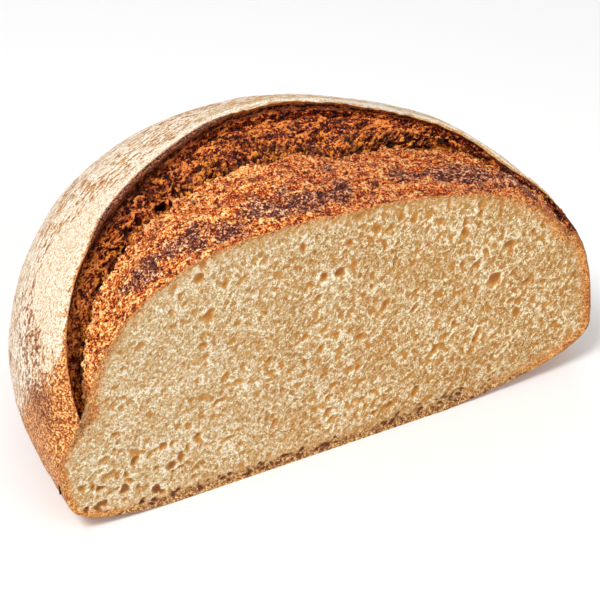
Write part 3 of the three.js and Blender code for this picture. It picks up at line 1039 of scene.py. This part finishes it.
def crumb_hollows():
    for x, z, long, wide, lean in LARGE_PORES:
        yield x - FACE_LEFT, z, long, wide, wide * 0.7, math.radians(lean), 0.0
    for _ in range(LOW_LEFT_PORES):
        x, z, size = crumb.uniform(-113, -62), crumb.uniform(4, 40), crumb.uniform(1.1, 2.3)
        yield x - FACE_LEFT, z, size, size * 0.6, size * 0.7, crumb.normal(1.1, 0.5), 0.0
    # How many, their half-length and slimness from and to, and how deep they sit.
    for count, long, slim, sink in (
        (380, (1.6, 3.1), (0.36, 0.66), (0.0, 0.4)),
        (2800, (0.9, 1.9), (0.4, 0.75), (-0.2, 0.4)),
        (8000, (0.5, 1.0), (0.5, 0.9), (-0.3, 0.5)),
        (16000, (0.35, 0.6), (0.6, 1.0), (-0.3, 0.4)),
    ):
        for _ in range(count):
            x, z = crumb.uniform(-HALF_WIDTH, HALF_WIDTH), crumb.uniform(2, 117)
            if crumb.random() > 0.4 + 0.6 * ease(-80, 20, x):
                continue
            size = mix(long[0], long[1], crumb.random() ** 1.8)
            width = size * crumb.uniform(*slim)
            lean = math.radians(58 + 18 * math.tanh(x / 60)) + crumb.normal(0, 0.5)
            yield x - FACE_LEFT, z, size, width, width * 0.75, lean, crumb.uniform(*sink)


def base_hollows():
    """Pits in a broken row just above the sole, painted dark inside as shade by the crumb's finish."""
    for _ in range(SOLE_PITS):
        x = crumb.uniform(-108, 112)
        crowd = 0.5 + 0.5 * math.sin(x / 6.0) * math.sin(x / 15.0 + 1)
        if crumb.random() > 0.2 + 0.8 * crowd:
            continue
        z = 1.0 + 0.0004 * max(x, 0) ** 2 + 4.6 * crumb.random() ** 1.4
        size = mix(0.35, 1.4, crumb.random() ** 3)
        yield x - FACE_LEFT, z, size, size * 0.55, size * 0.7, crumb.normal(0.15, 0.4), 0.1


face_carving = carved(FACE_WIDTH, FACE_HEIGHT, crumb_hollows())
base_carving = softened(carved(FACE_WIDTH, FACE_HEIGHT, base_hollows()), 1)
face_depth = softened(face_carving, 1)
face_soft = softened(face_carving, 6)
stray_x = 0.8 * swelling(face_flat, 2.6, 34) + face_x - FACE_LEFT
stray_z = 0.8 * swelling(face_flat, 2.6, 35) + face_z
face_hollow = read_off(face_depth, stray_x, stray_z)
face_ridge = read_off(face_soft, stray_x, stray_z) - face_hollow
base_pit = read_off(base_carving, face_x - FACE_LEFT + 0.3 * (stray_x - face_x), face_z)
rim = ease(0.2, 2.4, face_gap)
rough = 0.16 * swelling(face_flat, 0.75, 31) + 0.12 * swelling(face_flat, 1.6, 32)
waves = 0.35 * swelling(face_flat, 14.0, 33)
face_y = (0.62 * face_hollow + base_pit + rough + waves + 0.35) * rim
face_points = np.stack([face_x, face_y, face_z], -1)

sliced_crumb = finished_sheet(
    "sliced_crumb",
    face_points,
    face_inner,
    hollow=face_hollow * rim,
    ridge=face_ridge * rim,
    pit=base_pit * rim,
    gap=face_gap,
    height=face_z,
    place=face_x,
)


def leaning(places, lean, stretch):
    """Places along a direction that leans to the right in the cut, drawn out along it."""
    node = places.node("ShaderNodeMapping")
    node.vector_type = "TEXTURE"
    fed(node, Vector=places, Rotation=(0, lean, 0), Scale=(1, 1, stretch))
    return Figure(node.outputs[0])


def crumb_finish():
    material, tree, shader = new_finish("open crumb")
    spot, hollow, ridge, pit, gap, height, place = carried(
        tree, "hollow ridge pit gap height place"
    )
    fine = noise(spot, 0.6 * MM, 3, 0.75, 1)
    speck = noise(spot, 1.3 * MM, 3, 0.7, 2)
    patch = noise(spot, 14 * MM, 3, 0.55, 3)
    blot = noise(spot, 3.2 * MM, 3, 0.6, 5)
    mixed = fine * 0.6 + speck * 0.4

    drawn_up = leaning(stirred(spot, 3 * MM, 3 * MM), math.radians(28), 1.9)
    bubble = between(cell_walls(drawn_up, 1.7 * MM), 0.04, 0.3)
    foam = between(cell_walls(drawn_up, 0.8 * MM), 0.04, 0.3)
    # The rims round the carved pores are painted lighter through the ridge mark: painted highlight.
    lift = ridge * 0.12 + between(patch, 0.3, 0.7, 0.015, -0.015)
    lift = lift + (0.5 - bubble) * 0.055 + (0.5 - foam) * 0.03
    tone = 0.5 + (mixed - 0.5) * 0.7 + lift
    pale = ramp(
        tone, (0.43, 170, 108, 38), (0.475, 190, 147, 86), (0.53, 204, 176, 128), (0.585, 246, 239, 219)
    )
    warm = ramp(
        tone, (0.43, 156, 88, 20), (0.475, 181, 127, 56), (0.53, 197, 159, 98), (0.585, 246, 236, 206)
    )
    # Paler and lighter towards the left: partly painted light from the left, partly a warmer own tone to
    # the right.
    dough = blended(between(place, -90, 60), pale, warm)
    dough = blended(between(blot, 0.52, 0.7, 0, 0.5), dough, colour(206, 150, 74))
    # The pores turn golden, then brown, with their depth: painted shade in the pores.
    dough = blended(between(hollow, 0.35, 1, 0, 0.6), dough, colour(204, 142, 60))
    dough = blended(between(hollow, 1, 2.1, 0, 0.75), dough, colour(160, 94, 32))

    ragged = gap + (blot - 0.5) * 5 + (fine - 0.5) * 4
    far_right = between(place, 60, 108)
    toasted = ramp(
        mixed, (0.42, 118, 50, 16), (0.47, 190, 104, 38), (0.53, 222, 150, 66), (0.6, 250, 214, 142)
    )
    dough = blended(between(ragged, 7.5, 2, 0, 0.45), dough, colour(204, 150, 80))
    toasted_width = 1.6 + far_right * 3 + between(place, -90, -104, 0, 1.6)
    dough = blended(between(ragged / toasted_width, 1.5, 0.4, 0, 0.9), dough, toasted)
    scorched = between(ragged, 1.6, 0.5, 0, 0.75) * far_right
    dough = blended(scorched, dough, colour(146, 74, 30))

    sole = ramp(
        mixed, (0.43, 66, 26, 6), (0.48, 140, 82, 34), (0.52, 188, 130, 66), (0.59, 246, 214, 154)
    )
    low = height + (blot - 0.5) * 5 - between(place, 40, 110, 0, 3)
    dough = blended(between(low, 11, 4, 0, 0.4), dough, colour(200, 146, 78))
    # Pores low on the left are painted darker still with their depth: painted shade.
    low_left = between(place, -50, -75) * between(height, 30, 16)
    pore_shade = low_left * between(hollow, 0.6, 1.3, 0, 0.7)
    dough = blended(pore_shade, dough, colour(124, 66, 20))
    dough = blended(between(low, 6.6, 2.6, 0, 0.95), dough, sole)
    # The pits above the sole darken with their depth: painted shade.
    dough = blended(between(pit, 0.06, 0.5, 0, 0.88), dough, colour(94, 34, 6))

    coated(shader, dough, between(fine, 0.3, 0.7, 0.55, 0.8), 0.35)
    shader.inputs["Subsurface Weight"].default_value = 0.4
    shader.inputs["Subsurface Radius"].default_value = (1, 0.62, 0.3)
    shader.inputs["Subsurface Scale"].default_value = 1.4 * MM
    raised(shader, tone, 0.6 * MM)
    return material


sliced_crumb.data.materials.append(crumb_finish())
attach(sliced_crumb, "root")
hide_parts("sourdough_loaf")


# Baked base
# The underside: a hard brown sole, baked where the loaf sat flat on the hot stone, dented by it
# and with flour pressed into the dents.
BASE_COLUMNS = 181
BASE_ROWS = 121


def base_sheet():
    angle, share = np.meshgrid(
        np.linspace(math.pi, 0, BASE_COLUMNS), np.linspace(0, 1, BASE_ROWS)
    )
    rim_line = skin_points[-1]
    rim_angle = np.arctan2(rim_line[:, 1], rim_line[:, 0])
    rim_reach = np.hypot(rim_line[:, 0], rim_line[:, 1])
    turn = np.sort(rim_angle)
    reach = np.interp(angle, turn, rim_reach[np.argsort(rim_angle)])
    x = reach * np.cos(angle)
    y = np.maximum(reach * np.sin(angle), 0) * share
    return np.stack([x, y, 0 * x], -1)


base_points = base_sheet()
dents = np.maximum(swelling(base_points, 6.0, 41), 0) * 0.5
dents = dents + np.maximum(swelling(base_points, 2.2, 42), 0) * 0.25
outer_rows = ease(1.0, 0.94, np.linspace(0, 1, BASE_ROWS))[:, None]
base_points[..., 2] += dents * (ease(0, 4, base_points[..., 1]) * outer_rows)
baked_base = finished_sheet("baked_base", base_points, drawn_in(base_points), dent=dents)


def base_finish():
    material, tree, shader = new_finish("stone-baked sole")
    spot, dent = carried(tree, "dent")
    patch = noise(spot, 18 * MM, 4, 0.6, 1)
    speck = noise(spot, 1.6 * MM, 4, 0.65, 2)
    sole = blended(between(patch, 0.35, 0.65), colour(122, 76, 42), colour(168, 112, 66))
    sole = blended(between(dent, 0.15, 0.6, 0, 0.7), sole, colour(196, 160, 116))
    sole = blended(between(speck, 0.55, 0.7, 0, 0.75), sole, colour(224, 206, 172))
    sole = blended(between(speck, 0.42, 0.3, 0, 0.6), sole, colour(84, 48, 28))
    coated(shader, sole, between(speck, 0.3, 0.7, 0.6, 0.85))
    raised(shader, speck, 0.3 * MM, 0.8)
    return material


baked_base.data.materials.append(base_finish())
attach(baked_base, "root")
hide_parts("sourdough_loaf")


# Studio
# A wide pale table under soft white panels, with the camera looking down on the cut from the
# left, far enough away to keep the face nearly flat.
FLOOR_SIZE = 6.0
CAMERA_ELEVATION = math.radians(36)
CAMERA_TURN = math.radians(26.86)
CAMERA_FROM_CUT = (-229.97, -415.74, 419.94)
FOCAL_PIXELS = 1514.6
IMAGE_PIXELS = 600
SENSOR_WIDTH = 36.0
LAMP_TARGET = (0, 0, 0.05)
SKY_STRENGTH = 0.46

table = bmesh.new()
bmesh.ops.create_grid(table, x_segments=1, y_segments=1, size=FLOOR_SIZE / 2)
table_mesh = bpy.data.meshes.new("table")
table.to_mesh(table_mesh)
table.free()
floor = bpy.data.objects.new("table", table_mesh)
bpy.context.collection.objects.link(floor)
paper, _, paper_shader = new_finish("pale table")
coated(paper_shader, (0.9, 0.9, 0.9, 1), 0.9, 0.1)
table_mesh.materials.append(paper)


def soft_panel(name, place, size, power):
    panel = bpy.data.lights.new(name, "AREA")
    panel.shape = "RECTANGLE"
    panel.size, panel.size_y = size
    panel.energy = power
    lamp = bpy.data.objects.new(name, panel)
    lamp.location = place
    aim = Vector(LAMP_TARGET) - Vector(place)
    lamp.rotation_euler = aim.to_track_quat("-Z", "Y").to_euler()
    bpy.context.collection.objects.link(lamp)


soft_panel("window_left", (-0.7, -0.45, 1.35), (0.45, 0.45), 17)
soft_panel("front_fill", (0.7, -1.3, 0.9), (1.2, 0.9), 7)
soft_panel("back_soft", (0.3, 0.9, 1.4), (1.2, 1.2), 4)

sky = bpy.data.worlds.new("studio")
sky.use_nodes = True
sky_light = sky.node_tree.nodes["Background"]
sky_light.inputs["Color"].default_value = (1, 1, 1, 1)
sky_light.inputs["Strength"].default_value = SKY_STRENGTH
bpy.context.scene.world = sky
bpy.context.scene.view_settings.view_transform = "Standard"

lens = bpy.data.cameras.new("camera")
lens.sensor_width = SENSOR_WIDTH
lens.lens = FOCAL_PIXELS * SENSOR_WIDTH / IMAGE_PIXELS
lens.clip_end = 20
camera = bpy.data.objects.new("camera", lens)
from_loaf = Vector(CAMERA_FROM_CUT) - Vector((loaf_middle_x, 0, 0))
camera.location = from_loaf * MM + Vector((0, loaf_low.y, 0))
look = Vector(
    (
        math.sin(CAMERA_TURN) * math.cos(CAMERA_ELEVATION),
        math.cos(CAMERA_TURN) * math.cos(CAMERA_ELEVATION),
        -math.sin(CAMERA_ELEVATION),
    )
)
camera.rotation_euler = look.to_track_quat("-Z", "Y").to_euler()
bpy.context.collection.objects.link(camera)
bpy.context.scene.camera = camera
